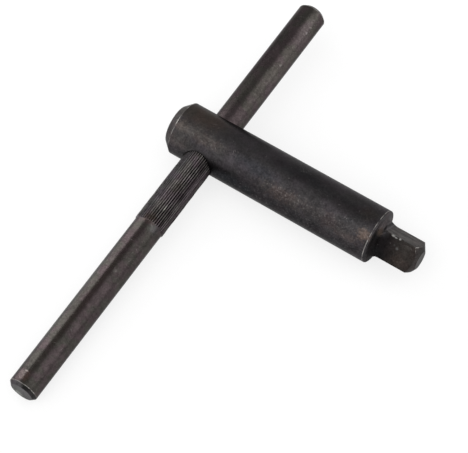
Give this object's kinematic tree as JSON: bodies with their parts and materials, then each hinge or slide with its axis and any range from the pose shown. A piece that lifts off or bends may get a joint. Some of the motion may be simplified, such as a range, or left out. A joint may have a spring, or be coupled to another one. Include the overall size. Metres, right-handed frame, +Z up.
{
  "type": "t-handle chuck key",
  "caption": "Tee-shaped steel key: a round body with a square drive at its tip and an off-centre cross bar, with a straight knurl where the bar is pressed into the body.",
  "frame": {"origin": "under the middle of the whole key's box, on the surface that it lies on", "axes": "+X along the body towards the square drive; +Y along the cross bar towards its short arm; +Z up, with the key lying on its body's side and on the rim of the long arm's end"},
  "size_m": [0.1114, 0.2, 0.0222],
  "materials": {
    "blackened_steel_body": "black-oxide steel, satin, with worn edges and rubbed warm patches",
    "blackened_steel_bar": "black-oxide steel, satin, lightly scratched, with bright crests on the straight knurl"
  },
  "bodies": {
    "root": {"key_body": "blackened_steel_body", "cross_bar": "blackened_steel_bar"}
  },
  "joints": []
}
